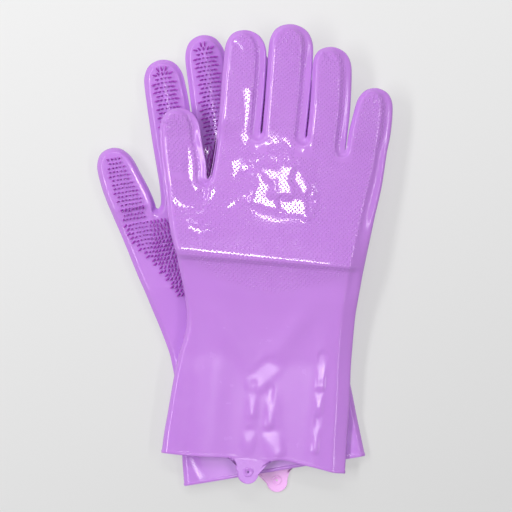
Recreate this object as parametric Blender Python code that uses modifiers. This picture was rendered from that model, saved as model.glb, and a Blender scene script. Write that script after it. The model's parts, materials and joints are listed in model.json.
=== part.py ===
"""A pair of silicone cleaning gloves with bristled palms, laid palm to palm.

The right-hand glove lies on top with its back up. The left-hand glove lies under it with its
palm up. Each glove hangs from an empty at the middle of its cuff edge. Sizes are in millimetres
along the glove: u runs across it, v from the cuff edge to the fingers and w up from the surface.
Every node is one closed body, and a piece that bends has its origin on the line it bends about.
"""

import math

import bmesh
import bpy
from mathutils import Vector
from numpy import interp

MM = 0.001
WALL = 1.3  # silicone wall
RIM_WALL = 1.6  # bead round the cuff edge
RIM_LENGTH = 2.6
GAP = 0.3  # between two nodes that touch
SIDE = 8.0  # how far the rounded side reaches in from the edge
ARC = 3  # facets in a quarter of the rounded side
KNUCKLES = 244.0  # where the fingers leave the hand
THUMB_ROOT = 206.0
WRIST = 150.0
TIP_ROUND = 9.0  # length over which a fingertip thins to its end
SPLIT = -46.0  # where the thumb's share of the hand ends, across the glove
PALM_FACETS, THUMB_FACETS = 7, 3  # facets across the back of the hand on each side of it

CENTRE = (8.3, 1.0)
GLOVES = {
    "right": {"origin": (-1.5, -156.2), "turn": 6.0, "lean": 0.0, "tab": -3.2},
    "left": {"origin": (15.2, -161.9), "turn": -9.5, "lean": 6.0, "tab": 0.0},
}
# height of the underside and the top along each glove
HEIGHTS = {
    "right": {
        "v": (0, 80, 100, 120, 140, 150, 158, 340),
        "low": (9.5, 9.5, 11.2, 15.0, 19.8, 21.0, 21.0, 21.0),
        "high": (18.5, 18.8, 22.0, 26.5, 30.5, 32.2, 34.8, 34.8),
    },
    "left": {
        "v": (0, 100, 120, 140, 150, 340),
        "low": (0, 0, 0, 0, 0, 0),
        "high": (9.2, 9.2, 10.4, 12.8, 14.0, 14.0),
    },
}
# the upper glove hangs down where the lower one ends under it
RIGHT_EDGE = ((-180, -150, -31, 17, 87, 115, 136, 150, 180), (88, 83, 57.6, 52.2, 49.6, 46, 34, 20, 0))
LEFT_EDGE = ((-173, -79, -40), (-52.5, -63.8, -110))
HANG_RIGHT, HANG_LEFT = (10.0, 80.0), (8.0, 45.0)

GAUNTLET = {
    "v": (0, 17, 32, 48, 63, 79, 90, 102, 120, 135, 150, 160, 172, 184, 196, 206),
    "left": (-69.7, -68.3, -66.1, -64.6, -63.2, -61.8, -60.2, -60.4, -63.9, -68.5, -73.3, -77.5,
             -81.3, -84.0, -86.2, -88.4),
    "right": (69.5, 68.6, 67.9, 67.6, 66.6, 65.3, 64.8, 64.3, 63.8, 64.9, 65.8, 66.6, 67.8, 69.3,
              70.8, 72.6),
}
HAND = {"v": (206, 217, 230, 244), "left": (-55.4, -54.2, -53.4, -53.0), "right": (72.6, 73.9, 74.7, 75.3)}
FINGERS = {
    "thumb": {"v": (206, 220, 240, 262), "left": (-88.5, -92.0, -95.8, -96.5),
              "right": (-56.9, -57.9, -64.5, -68.0), "tip": 261.5, "cap": 16.0},
    "index": {"v": (244, 263, 286, 305, 325), "left": (-53.0, -52.9, -53.6, -53.6, -54.2),
              "right": (-20.6, -20.6, -21.0, -21.8, -23.6), "tip": 324.8, "cap": 16.0},
    "middle": {"v": (244, 274, 297, 312, 333), "left": (-19.2, -19.8, -20.5, -21.2, -21.8),
               "right": (13.3, 13.4, 13.1, 12.4, 11.2), "tip": 332.9, "cap": 18.0},
    "ring": {"v": (244, 270, 293, 320), "left": (14.3, 14.4, 13.9, 12.6),
             "right": (43.7, 43.8, 43.4, 42.4), "tip": 319.4, "cap": 15.0},
    "little": {"v": (244, 257, 270, 292), "left": (44.9, 46.2, 48.1, 50.6),
               "right": (75.3, 76.8, 76.8, 75.4), "tip": 291.9, "cap": 14.0},
}
NAMES = {"thumb": "thumb", "index": "index_finger", "middle": "middle_finger",
         "ring": "ring_finger", "little": "little_finger"}
# the left glove's first two fingers also bend nearer the tip, where nothing lies on them
TIP_BENDS = {"left": {"index": 285.0, "middle": 311.0}}
CAP_STEPS = (1.0, 0.6, 0.3, 0.12, 0.025)

PAD = {
    "v": (151.5, 160, 172, 184, 196, 203, 207, 220, 232, 242.5),
    "left": (-52, -58, -64.5, -71, -76, -77, -47.5, -46.5, -45.8, -45.5),
    "right": (57, 59, 60, 61.5, 63, 64, 64.7, 66, 67, 67.5),
}
PAD_INSET = 7.0
PAD_HEIGHT = {"right": 2.9, "left": 3.1}
PAD_GAP = {"right": 0.5, "left": 0.3}

TAB_WIDTH, TAB_LENGTH, TAB_THICK = 29.0, 15.6, 1.6
TAB_TIP = 8.0  # radius of the tab's end
RING_OUT, RING_HOLE, RING_UP, RING_AT = 3.65, 0.8, 0.6, -7.0

VIOLET = (0.56, 0.24, 0.80, 1.0)
VIOLET_LIGHT = (0.63, 0.30, 0.86, 1.0)


def clear_scene():
    for thing in list(bpy.data.objects):
        bpy.data.objects.remove(thing, do_unlink=True)


def collection(name):
    made = bpy.data.collections.new(name)
    bpy.context.scene.collection.children.link(made)
    return made


def silicone(name, colour):
    made = bpy.data.materials.new(name + "_silicone")
    made.use_nodes = True
    shader = made.node_tree.nodes["Principled BSDF"]
    shader.inputs["Base Color"].default_value = colour
    shader.inputs["Roughness"].default_value = 0.35
    return made


def glove_empty(side, group):
    glove = GLOVES[side]
    made = bpy.data.objects.new(side + "_glove", None)
    made.location = ((glove["origin"][0] + CENTRE[0]) * MM, (glove["origin"][1] + CENTRE[1]) * MM, 0)
    made.rotation_euler = (0, 0, -math.radians(glove["turn"]))
    group.objects.link(made)
    return made


def ease(t):
    t = min(max(t, 0.0), 1.0)
    return t * t * (3 - 2 * t)


def hang(side, u, v):
    """How far the upper glove hangs down past the edges of the lower one."""
    if side != "right":
        return 0.0
    glove = GLOVES[side]
    turn = math.radians(glove["turn"])
    x = glove["origin"][0] + u * math.cos(turn) + v * math.sin(turn)
    y = glove["origin"][1] - u * math.sin(turn) + v * math.cos(turn)
    past_right = (x - interp(y, *RIGHT_EDGE)) / HANG_RIGHT[1]
    past_left = (interp(y, *LEFT_EDGE) - x) / HANG_LEFT[1]
    return HANG_RIGHT[0] * ease(past_right) + HANG_LEFT[0] * ease(past_left)


def place(side, u, v, w):
    """Point of a glove in its empty's space, with the hang of the upper glove taken off."""
    if v > KNUCKLES and u > -54.5:
        u += GLOVES[side]["lean"] * (v - KNUCKLES) / 80
    return Vector((u, v, w - hang(side, u, v))) * MM


def heights(side, v):
    table = HEIGHTS[side]
    return float(interp(v, table["v"], table["low"])), float(interp(v, table["v"], table["high"]))


def flats(right, left, count):
    return [right + (left - right) * i / count for i in range(count + 1)]


def section(left, right, low, high, tops, side=SIDE, arc=ARC):
    """Outline of a flattened tube: top from right to left, left side, bottom, right side."""
    edge = min(side, 0.45 * (right - left))
    mid, half = (low + high) / 2, (high - low) / 2
    across = tops(right - edge, left + edge)
    turns = [math.pi * i / (2 * arc) for i in range(1, 2 * arc)]
    outline = [(u, high) for u in across]
    outline += [(left + edge - edge * math.sin(a), mid + half * math.cos(a)) for a in turns]
    outline += [(u, low) for u in reversed(across)]
    outline += [(right - edge + edge * math.sin(a), mid - half * math.cos(a)) for a in turns]
    return outline


def band(first, second):
    """Faces between two closed loops of point numbers."""
    count = len(first)
    return [(first[i], first[(i + 1) % count], second[(i + 1) % count], second[i]) for i in range(count)]


def bands(count, rings, start=0):
    loops = [list(range(start + i * count, start + (i + 1) * count)) for i in range(rings)]
    return [face for a, b in zip(loops, loops[1:]) for face in band(a, b)]


class Glove:
    """One glove of the pair, with the collections and the empty that its pieces go in."""

    def __init__(self, side, parts, cutters):
        self.side, self.parts, self.cutters = side, parts, cutters
        self.empty = glove_empty(side, parts)

    def node(self, name, points, faces, origin, colour):
        """An object of this glove, its mesh measured from its own origin."""
        mesh = bpy.data.meshes.new(f"{self.side}_{name}")
        mesh.from_pydata([tuple(p - origin) for p in points], [], faces)
        return self.adopt(name, mesh, origin, colour)

    def adopt(self, name, mesh, origin, colour):
        name = f"{self.side}_{name}"
        shape = bmesh.new()
        shape.from_mesh(mesh)
        bmesh.ops.recalc_face_normals(shape, faces=shape.faces)
        shape.to_mesh(mesh)
        shape.free()
        mesh.materials.append(silicone(name, colour))
        mesh.shade_smooth()
        mesh.set_sharp_from_angle(angle=math.radians(50))
        made = bpy.data.objects.new(name, mesh)
        made.location, made.parent = origin, self.empty
        self.parts.objects.link(made)
        return made

    def shell(self, name, points, faces, origin, wall=WALL):
        """An open skin made into a wall that is thickened inwards."""
        made = self.node(name, points, faces, origin, VIOLET)
        wall_maker = made.modifiers.new("wall", "SOLIDIFY")
        wall_maker.thickness, wall_maker.offset = wall * MM, -1
        wall_maker.use_even_offset = True
        return made

    def spans(self, table, v, inset=0.0):
        low, high = heights(self.side, v)
        left = float(interp(v, table["v"], table["left"])) + inset
        right = float(interp(v, table["v"], table["right"])) - inset
        return left, right, low, high

    def ring(self, outline, v):
        return [place(self.side, u, v, w) for u, w in outline]

    def rings(self, table, stations, tops):
        return [p for v in stations for p in self.ring(section(*self.spans(table, v), tops), v)]

    def pivot(self, table, v):
        """Origin on the line that a piece bends about, over everything beyond it."""
        left, right, _, high = self.spans(table, v)
        if self.side == "left":
            high += PAD_GAP["left"] + PAD_HEIGHT["left"] + 0.1
        tops = [place(self.side, left + (right - left) * i / 20, v, high)[2] for i in range(21)]
        at = place(self.side, (left + right) / 2, v, high)
        return Vector((at[0], at[1], max(tops)))

    def sleeve(self, name, stations, wall, origin):
        points = self.rings(GAUNTLET, stations, lambda a, b: flats(a, b, 10))
        return self.shell(name, points, bands(len(points) // len(stations), len(stations)), origin, wall)

    def hand(self):
        """The hand from the wrist to the knuckles, open at the wrist, the thumb and the fingers."""
        wide = [WRIST + GAP / 2, 160, 172, 184, 196, THUMB_ROOT - GAP / 2]
        narrow = [217, 230, KNUCKLES - GAP / 2]
        points = self.rings(GAUNTLET, wide, hand_tops)
        arc = 2 * ARC - 1
        palm, thumb = PALM_FACETS + 1, THUMB_FACETS
        across = palm + thumb
        web = section(*self.spans(HAND, THUMB_ROOT), palm_tops)[palm:palm + arc]
        points += self.ring(web, wide[-1]) + self.rings(HAND, narrow, palm_tops)
        many, few = 2 * (across + arc), 2 * (palm + arc)
        faces = bands(many, len(wide))
        last, after = (len(wide) - 1) * many, len(wide) * many
        first = list(range(last, last + palm)) + list(range(after, after + arc))
        first += list(range(last + across + arc + thumb, last + many))
        start = after + arc
        faces += band(first, list(range(start, start + few))) + bands(few, len(narrow), start)
        self.shell("hand_shell", points, faces, place(self.side, 0, WRIST, 0))

    def cap(self, table, v, reach):
        """Section of a fingertip, at a distance before its end."""
        left, right, low, high = self.spans(table, v)
        wide = math.sqrt(1 - max(0.0, 1 - reach / table["cap"]) ** 2)
        thick = math.sqrt(1 - max(0.0, 1 - reach / TIP_ROUND) ** 2)
        mid, half = (left + right) / 2, (right - left) / 2 * wide
        level, rise = (low + high) / 2, (high - low) / 2 * thick
        return section(mid - half, mid + half, level - rise, level + rise, finger_tops)

    def finger(self, name, table, start, end=None):
        """A finger from start to its tip, or a sleeve from start to end."""
        last = end if end else table["tip"] - table["cap"]
        stations = [start] + [v for v in table["v"] if start + 6 < v < last - 6] + ([end] if end else [])
        points = self.rings(table, stations, finger_tops)
        size, rings = len(points) // len(stations), len(stations)
        if not end:
            for step in CAP_STEPS:
                reach = table["cap"] * step
                points += self.ring(self.cap(table, table["tip"] - reach, reach), table["tip"] - reach)
            rings += len(CAP_STEPS)
        faces = bands(size, rings)
        if not end:
            faces.append(tuple(range(size * (rings - 1), size * rings)))
        self.shell(name, points, faces, self.pivot(table, start - GAP / 2))

    def pad(self, name, stations, edges, count, origin):
        """A field of bristles as the thin block that they fill, on the palm side."""
        gap, thick = PAD_GAP[self.side], PAD_HEIGHT[self.side]
        points = []
        for v in stations:
            low, high = heights(self.side, v)
            base = low - gap - thick if self.side == "right" else high + gap
            tops = lambda a, b: flats(a, b, count)
            points += self.ring(section(*edges(v), base, base + thick, tops, 1.2, 1), v)
        size = len(points) // len(stations)
        faces = bands(size, len(stations))
        faces += [tuple(range(size)), tuple(range(len(points) - size, len(points)))]
        self.node(name, points, faces, origin, VIOLET_LIGHT)

    def palm_pad(self):
        edges = lambda v: (interp(v, PAD["v"], PAD["left"]), interp(v, PAD["v"], PAD["right"]))
        self.pad("palm_bristles", PAD["v"], edges, 8, place(self.side, 0, WRIST, 0))

    def finger_pad(self, name, table, start, end=None, root=None):
        cap = table["cap"] - 4

        def edges(v):
            left, right, _, _ = self.spans(table, v, PAD_INSET)
            reach = table["tip"] - PAD_INSET - v
            shrink = math.sqrt(1 - max(0.0, 1 - reach / cap) ** 2)
            mid, half = (left + right) / 2, (right - left) / 2 * shrink
            return mid - half, mid + half

        last = end if end else table["tip"] - PAD_INSET - 0.6
        cap_stations = [] if end else [last - 7.5, last - 3]
        middles = [v for v in table["v"] if start + 5 < v < min([last] + cap_stations) - 5]
        stations = [start] + middles + cap_stations + [last]
        self.pad(name, stations, edges, 3, self.pivot(table, root))

    def plate(self, outline, top, thick):
        """Mesh of a flat outline, extruded down from its top."""
        curve = bpy.data.curves.new("outline", "CURVE")
        curve.dimensions, curve.fill_mode, curve.extrude = "2D", "BOTH", thick / 2 * MM
        spline = curve.splines.new("POLY")
        spline.points.add(len(outline) - 1)
        for point, (u, v) in zip(spline.points, outline):
            point.co = (u * MM, v * MM, 0, 1)
        spline.use_cyclic_u = True
        guide = bpy.data.objects.new("outline", curve)
        self.cutters.objects.link(guide)
        seen = guide.evaluated_get(bpy.context.evaluated_depsgraph_get())
        mesh = bpy.data.meshes.new_from_object(seen)
        bpy.data.objects.remove(guide, do_unlink=True)
        shape = bmesh.new()
        shape.from_mesh(mesh)
        bmesh.ops.remove_doubles(shape, verts=shape.verts, dist=0.00001)
        bmesh.ops.translate(shape, verts=shape.verts, vec=(0, 0, -thick / 2 * MM))
        shape.to_mesh(mesh)
        shape.free()
        return mesh

    def disc(self, name, at, radius, low, high):
        bpy.ops.mesh.primitive_cylinder_add(vertices=16, radius=radius * MM, depth=(high - low) * MM)
        made = bpy.context.object
        made.name, made.parent = f"{self.side}_{name}", self.empty
        made.location = at + Vector((0, 0, (low + high) / 2 * MM))
        for home in list(made.users_collection):
            home.objects.unlink(made)
        self.cutters.objects.link(made)
        made.hide_render, made.display_type = True, "WIRE"
        return made

    def hang_tab(self):
        """The hanging tab on the back of the cuff, with a raised ring round its small hole."""
        top = heights(self.side, 0)[1] if self.side == "right" else TAB_THICK
        origin = place(self.side, GLOVES[self.side]["tab"], 0, top)
        made = self.adopt("hang_tab", self.plate(tab_outline(), top, TAB_THICK), origin, VIOLET)
        ring = origin + Vector((0, RING_AT, 0)) * MM
        boss = self.disc("ring_boss", ring, RING_OUT, -0.8, RING_UP)
        hole = self.disc("ring_hole", ring, RING_HOLE, -4, 4)
        for tool, kind in ((boss, "UNION"), (hole, "DIFFERENCE")):
            cut = made.modifiers.new(kind.lower(), "BOOLEAN")
            cut.object, cut.operation, cut.solver = tool, kind, "EXACT"

    def fingers(self):
        for key, table in FINGERS.items():
            root = THUMB_ROOT if key == "thumb" else KNUCKLES
            bend = TIP_BENDS.get(self.side, {}).get(key)
            start = root + GAP / 2
            if bend:
                self.finger(NAMES[key], table, start, bend - GAP / 2)
                self.finger(f"{key}_fingertip", table, bend + GAP / 2)
                self.finger_pad(f"{key}_bristles", table, start + 1.5, bend - 1.0, root)
                self.finger_pad(f"{key}_tip_bristles", table, bend + 1.0, None, bend)
            else:
                self.finger(NAMES[key], table, start)
                self.finger_pad(f"{key}_bristles", table, start + 1.5, None, root)

    def build(self):
        self.sleeve("cuff_rim", [0.0, RIM_LENGTH - GAP / 2], RIM_WALL, place(self.side, 0, 0, 0))
        along = [RIM_LENGTH + GAP / 2, 25, 50, 79, 100, 120, 138, WRIST - GAP / 2]
        self.sleeve("gauntlet", along, WALL, self.pivot(GAUNTLET, WRIST))
        self.hand()
        self.hang_tab()
        self.palm_pad()
        self.fingers()


def finger_tops(right, left):
    return flats(right, left, 3)


def hand_tops(right, left):
    return flats(right, SPLIT, PALM_FACETS) + flats(SPLIT, left, THUMB_FACETS)[1:]


def palm_tops(right, left):
    return flats(right, SPLIT, PALM_FACETS)


def tab_outline():
    """Rounded triangle of the hanging tab, as points across and along it from its root."""
    half, deep = TAB_WIDTH / 2, TAB_LENGTH - TAB_TIP
    turns = [math.radians(8 + 164 * i / 10) for i in range(11)]
    outline = [(-half, -GAP), (-half * 0.93, -1.4)]
    outline += [(-TAB_TIP * math.cos(a), -deep - TAB_TIP * math.sin(a)) for a in turns]
    return outline + [(half * 0.93, -1.4), (half, -GAP)]


clear_scene()
gloves = collection("cleaning_gloves")
cutting = collection("cutters")
for hand_side in GLOVES:
    Glove(hand_side, gloves, cutting).build()
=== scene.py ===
"""Looks of a pair of silicone cleaning gloves, laid palm to palm on a pale surface.

Each glove is one smooth moulded skin: a coarse cage in the plan of the hand is subdivided,
sculpted with folds, slopes and flat spots, given a wall, and split into pieces that bend at the joints.
Bristles stand on the palm side and fine dots on the back. Sizes are in millimetres along the
glove (u across, v from cuff to fingers, w up), and become metres only when a mesh is made.
"""

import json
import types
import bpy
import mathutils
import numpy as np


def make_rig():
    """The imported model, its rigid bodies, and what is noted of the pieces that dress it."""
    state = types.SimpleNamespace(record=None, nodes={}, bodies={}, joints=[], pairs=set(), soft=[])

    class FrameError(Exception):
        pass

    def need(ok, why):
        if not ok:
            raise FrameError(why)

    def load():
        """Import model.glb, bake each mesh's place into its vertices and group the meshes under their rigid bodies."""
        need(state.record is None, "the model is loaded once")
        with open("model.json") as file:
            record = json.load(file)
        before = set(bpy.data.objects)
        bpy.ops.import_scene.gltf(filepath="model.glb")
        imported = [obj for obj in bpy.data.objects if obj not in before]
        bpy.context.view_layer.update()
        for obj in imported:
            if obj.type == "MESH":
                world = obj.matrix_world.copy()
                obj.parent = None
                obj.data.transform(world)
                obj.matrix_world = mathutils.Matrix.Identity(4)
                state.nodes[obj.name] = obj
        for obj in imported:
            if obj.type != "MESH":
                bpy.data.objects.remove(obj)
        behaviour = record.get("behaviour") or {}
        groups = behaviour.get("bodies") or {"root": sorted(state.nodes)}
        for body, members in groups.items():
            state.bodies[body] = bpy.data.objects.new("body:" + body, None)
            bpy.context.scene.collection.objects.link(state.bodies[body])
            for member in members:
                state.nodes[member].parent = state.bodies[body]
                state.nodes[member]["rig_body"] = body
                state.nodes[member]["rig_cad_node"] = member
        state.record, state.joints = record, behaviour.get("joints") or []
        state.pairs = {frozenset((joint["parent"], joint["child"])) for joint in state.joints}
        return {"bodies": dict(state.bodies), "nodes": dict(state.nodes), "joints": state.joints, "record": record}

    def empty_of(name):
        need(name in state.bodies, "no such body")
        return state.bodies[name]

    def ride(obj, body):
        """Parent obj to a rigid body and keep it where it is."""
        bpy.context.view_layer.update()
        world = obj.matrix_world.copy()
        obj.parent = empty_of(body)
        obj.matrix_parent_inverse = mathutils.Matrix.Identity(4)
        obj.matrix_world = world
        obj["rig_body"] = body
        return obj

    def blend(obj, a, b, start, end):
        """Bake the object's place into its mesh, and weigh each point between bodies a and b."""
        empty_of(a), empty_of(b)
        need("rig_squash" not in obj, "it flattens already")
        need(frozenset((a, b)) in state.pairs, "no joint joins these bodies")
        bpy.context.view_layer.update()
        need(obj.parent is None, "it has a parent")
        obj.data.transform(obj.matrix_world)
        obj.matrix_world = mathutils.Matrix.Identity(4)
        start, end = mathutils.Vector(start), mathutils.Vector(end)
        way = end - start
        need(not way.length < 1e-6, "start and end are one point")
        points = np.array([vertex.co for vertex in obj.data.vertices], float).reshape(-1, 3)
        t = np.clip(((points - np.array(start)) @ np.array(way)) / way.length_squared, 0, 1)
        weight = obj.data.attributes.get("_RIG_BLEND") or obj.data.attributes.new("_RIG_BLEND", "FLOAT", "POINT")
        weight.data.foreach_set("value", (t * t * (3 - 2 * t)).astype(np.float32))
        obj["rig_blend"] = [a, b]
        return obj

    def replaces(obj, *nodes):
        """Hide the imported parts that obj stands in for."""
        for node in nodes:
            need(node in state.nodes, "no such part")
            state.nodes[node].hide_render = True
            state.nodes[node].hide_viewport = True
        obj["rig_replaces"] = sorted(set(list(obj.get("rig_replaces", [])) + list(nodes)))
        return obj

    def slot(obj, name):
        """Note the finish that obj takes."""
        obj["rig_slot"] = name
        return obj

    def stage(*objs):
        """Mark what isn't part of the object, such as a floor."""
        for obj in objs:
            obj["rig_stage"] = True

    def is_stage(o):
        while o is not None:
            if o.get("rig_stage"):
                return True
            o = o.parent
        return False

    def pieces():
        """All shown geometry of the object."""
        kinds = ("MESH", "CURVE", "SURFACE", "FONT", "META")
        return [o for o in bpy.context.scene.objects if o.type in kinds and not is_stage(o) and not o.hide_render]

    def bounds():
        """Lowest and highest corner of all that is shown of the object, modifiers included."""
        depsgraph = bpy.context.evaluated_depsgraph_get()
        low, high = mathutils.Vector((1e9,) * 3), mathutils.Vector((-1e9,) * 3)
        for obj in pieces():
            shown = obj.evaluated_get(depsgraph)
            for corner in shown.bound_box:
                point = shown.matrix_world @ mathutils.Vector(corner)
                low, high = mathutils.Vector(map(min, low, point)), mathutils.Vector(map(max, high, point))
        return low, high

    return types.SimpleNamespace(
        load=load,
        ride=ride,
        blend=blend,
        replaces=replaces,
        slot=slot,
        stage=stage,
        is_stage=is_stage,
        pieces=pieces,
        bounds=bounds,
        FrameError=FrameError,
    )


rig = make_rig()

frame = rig.load()

import json
import math

import bpy
import numpy as np
from mathutils import Vector
from mathutils.bvhtree import BVHTree

MM = 0.001
CAD_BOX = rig.bounds()

# ---------------- where the gloves lie
CENTRE = (8.3, 1.0)
GLOVES = {  # middle of the cuff, turn in degrees, lean of the fingers, shift of the tab
    "right": {"origin": (-1.5, -156.2), "turn": 6.0, "lean": 0.0, "tab": (-3.2, 0.6)},
    "left": {"origin": (15.2, -161.9), "turn": -9.5, "lean": 6.0, "tab": (0.0, -0.6)},
}
KNUCKLES, THUMB_ROOT = 244.0, 206.0  # how far up the glove they are
LEAN_LENGTH = 80.0  # the lower glove's fingers lean to one side over this length
WALL = 1.3

HEIGHTS = {
    "right": {
        "v": (0, 80, 100, 120, 140, 154, 340),
        "low": (9.5, 9.5, 11.2, 15.0, 19.8, 21.0, 21.0),
        "high": (17.6, 20.0, 22.0, 24.9, 29.4, 35.5, 35.5),
    },
    "left": {
        "v": (0, 100, 120, 140, 150, 340),
        "low": (0.35,) * 6,
        "high": (9.2, 9.2, 10.4, 12.8, 13.9, 13.9),
    },
}
# the edges of the lower glove, past which the upper one sags: y along the floor, then x
RIGHT_EDGE = ((-180, -150, -31, 17, 87, 115, 136, 150, 180), (88, 83, 57.6, 52.2, 49.6, 46, 34, 20, 0))
LEFT_EDGE = ((-173, -79, -40), (-52.5, -63.8, -110))
HANG_RIGHT, HANG_LEFT = (10.0, 80.0), (8.0, 45.0)  # how far it sags, and over what width

# ---------------- outline of one glove
HAND_SIDES = {
    "v": (0, 17, 32, 48, 63, 79, 90, 102, 120, 135, 150, 160, 172, 184, 196, 206),
    "left": (-69.6, -69.2, -68.0, -67.1, -65.9, -64.0, -61.3, -60.7, -63.9, -68.5, -73.3, -77.5,
             -81.3, -84.0, -86.2, -88.4),
    "right": (69.3, 68.6, 67.9, 67.6, 66.6, 65.4, 65.1, 64.8, 64.5, 65.6, 66.6, 67.6, 68.8, 70.2,
              71.3, 72.8),
}
PALM_SIDES = {
    "v": (206, 217, 230, 244),
    "left": (-55.4, -54.2, -53.4, -53.0),
    "right": (72.8, 74.1, 74.8, 75.3),
}
FINGERS = {
    "thumb": {"v": (206, 220, 240, 262), "left": (-88.5, -92.0, -95.8, -96.5),
              "right": (-56.9, -57.9, -64.5, -68.0), "tip": 261.5, "cap": 16.0},
    "index": {"v": (244, 263, 286, 305, 325), "left": (-53.0, -52.9, -53.6, -53.6, -54.2),
              "right": (-20.6, -20.6, -21.0, -22.0, -24.2), "tip": 324.7, "cap": 16.5},
    "middle": {"v": (244, 274, 297, 312, 333), "left": (-19.2, -19.8, -20.5, -21.2, -21.8),
               "right": (13.3, 13.4, 13.1, 12.4, 11.2), "tip": 332.9, "cap": 18.0},
    "ring": {"v": (244, 270, 293, 320), "left": (14.3, 14.4, 13.6, 11.8),
             "right": (44.1, 44.6, 43.5, 41.0), "tip": 319.2, "cap": 16.0},
    "little": {"v": (244, 257, 270, 292), "left": (44.6, 45.2, 47.2, 50.6),
               "right": (75.3, 76.8, 76.8, 75.4), "tip": 291.9, "cap": 14.0},
}
LEFT_CHANGES = {  # the lower glove lies with its thumb spread wider
    "hand": {"v": HAND_SIDES["v"],
             "left": (-69.5, -68.2, -66.3, -65.2, -64.3, -63.4, -63.3, -64.0, -67.6, -71.2, -74.6, -77.3,
                      -80.0, -82.6, -85.4, -88.0),
             "right": (68.7, 68.0, 67.3, 67.0, 66.2) + HAND_SIDES["right"][5:]},
    "palm": {"v": (206, 211, 217, 230, 244), "left": (-54.0, -52.2, -51.0, -50.4, -50.5)},
    "thumb": {"v": (206, 213, 220, 231, 243, 262), "right": (-56.6, -56.0, -57.0, -60.4, -64.7, -69.4),
              "left": (-88.0, -89.7, -91.6, -93.7, -95.1, -95.2), "tip": 262.1},
    "index": {"v": FINGERS["index"]["v"], "left": (-50.5, -51.9, -53.2, -54.0, -54.2),
              "right": (-20.6, -20.6, -21.4, -23.6, -27.0), "tip": 321.6},
    "middle": {"v": FINGERS["middle"]["v"], "right": (13.3, 13.4, 12.3, 10.2, 6.8), "tip": 334.9},
}
ORDER = ("thumb", "index", "middle", "ring", "little")
WEBS = {"thumb": 209.5, "index": 247.4, "middle": 248.0, "ring": 241.6}  # web after each finger
SHARES = (0.0, 0.13, 0.5, 0.87, 1.0)  # cage columns across a finger, close together at its edges
COLUMNS = len(SHARES) - 1
STRIDE = COLUMNS + 2  # and two more across the web beside it
EDGE_LEFT, EDGE_RIGHT, EDGE_PALM, EDGE_TIP = 3.6, 8.8, 3.8, 4.2  # how far each face is set in
HAND_EDGE_RIGHT = 10.5  # and the right side of the back of the hand and gauntlet
HAND_EDGE_FROM, HAND_EDGE_OVER = 8.0, 30.0  # from this far below the knuckles, over this length
WEB_BACK, WEB_PALM = 7.5, 5.0  # how far the faces stop short of a web
ROOT_STOP = 3.5  # how far below the level of a web the fingers beside it begin
WEB_RISE = 2.2  # from the bottom of a web to where its sides run straight
SEAM = 3.5  # from a web to where the skin of a finger begins
FINGER_ROW = 7.0  # between the rows of the cage along a finger
CAP_STEPS = (0.36, 0.7, 0.9, 1.0)  # rows over a round fingertip, as shares of it
GATHER_FROM, GATHER_OVER = 60.0, 140.0  # where the even columns gather under the fingers
# loops between a face and the outline: share of the way out and of the way down, soft and crisp
LOOPS = (((0.34, 0.10), (0.16, 0.13)), ((0.88, 0.52), (0.66, 0.60)))
CRISP_FROM, CRISP_OVER = 5.0, 3.0  # a face set in this far or more has the crisp loops
INSETS = ((EDGE_LEFT, EDGE_RIGHT), (EDGE_PALM, EDGE_PALM))  # of the back and of the palm
PIECES = ("hand", "rim") + ORDER
RIM_ROW = 2.6
CUFF_ROWS = [0.0, 0.9, 1.8, RIM_ROW, 3.4]
SLEEVE_ROWS = [10.0 + 7 * i for i in range(19)] + [142.5, 147.0]
HAND_ROWS = [150.5, 153.0, 155.5, 158.5, 163.0, 170.0, 178.0, 186.0, 193.0, 200.0]


def ease(t):
    t = np.clip(t, 0.0, 1.0)
    return t * t * (3 - 2 * t)


def between(v, table, key):
    return np.interp(v, table["v"], table[key])


def tip_of(side, name):
    """How far up the glove the tip of a finger is."""
    return (LEFT_CHANGES.get(name, {}) if side == "left" else {}).get("tip", FINGERS[name]["tip"])


def outline(side, name, key, v):
    """Where the left or right side of a part of the glove is, across it."""
    tables = {"hand": HAND_SIDES, "palm": PALM_SIDES, **FINGERS}
    change = LEFT_CHANGES.get(name, {})
    table = change if side == "left" and key in change else tables[name]
    lean = GLOVES[side]["lean"] if name in ORDER[1:] else 0.0
    return between(v, table, key) + lean * np.maximum(np.asarray(v) - KNUCKLES, 0) / LEAN_LENGTH


def hang(x, y):
    """How far the upper glove hangs down past the edges of the lower one."""
    past_right = (x - np.interp(y, *RIGHT_EDGE)) / HANG_RIGHT[1]
    past_left = (np.interp(y, *LEFT_EDGE) - x) / HANG_LEFT[1]
    return HANG_RIGHT[0] * ease(past_right) + HANG_LEFT[0] * ease(past_left)


def world(side, points):
    """Metres in the frame, from an array of points along one glove."""
    glove = GLOVES[side]
    turn = math.radians(glove["turn"])
    u, v, w = np.asarray(points, float).T
    x = glove["origin"][0] + u * math.cos(turn) + v * math.sin(turn)
    y = glove["origin"][1] - u * math.sin(turn) + v * math.cos(turn)
    if side == "right":
        w = w - hang(x, y)
    return np.stack([x + CENTRE[0], y + CENTRE[1], w], axis=1) * MM


def spot(side, u, v, w=0.0):
    return tuple(world(side, [(u, v, w)])[0])


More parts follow.
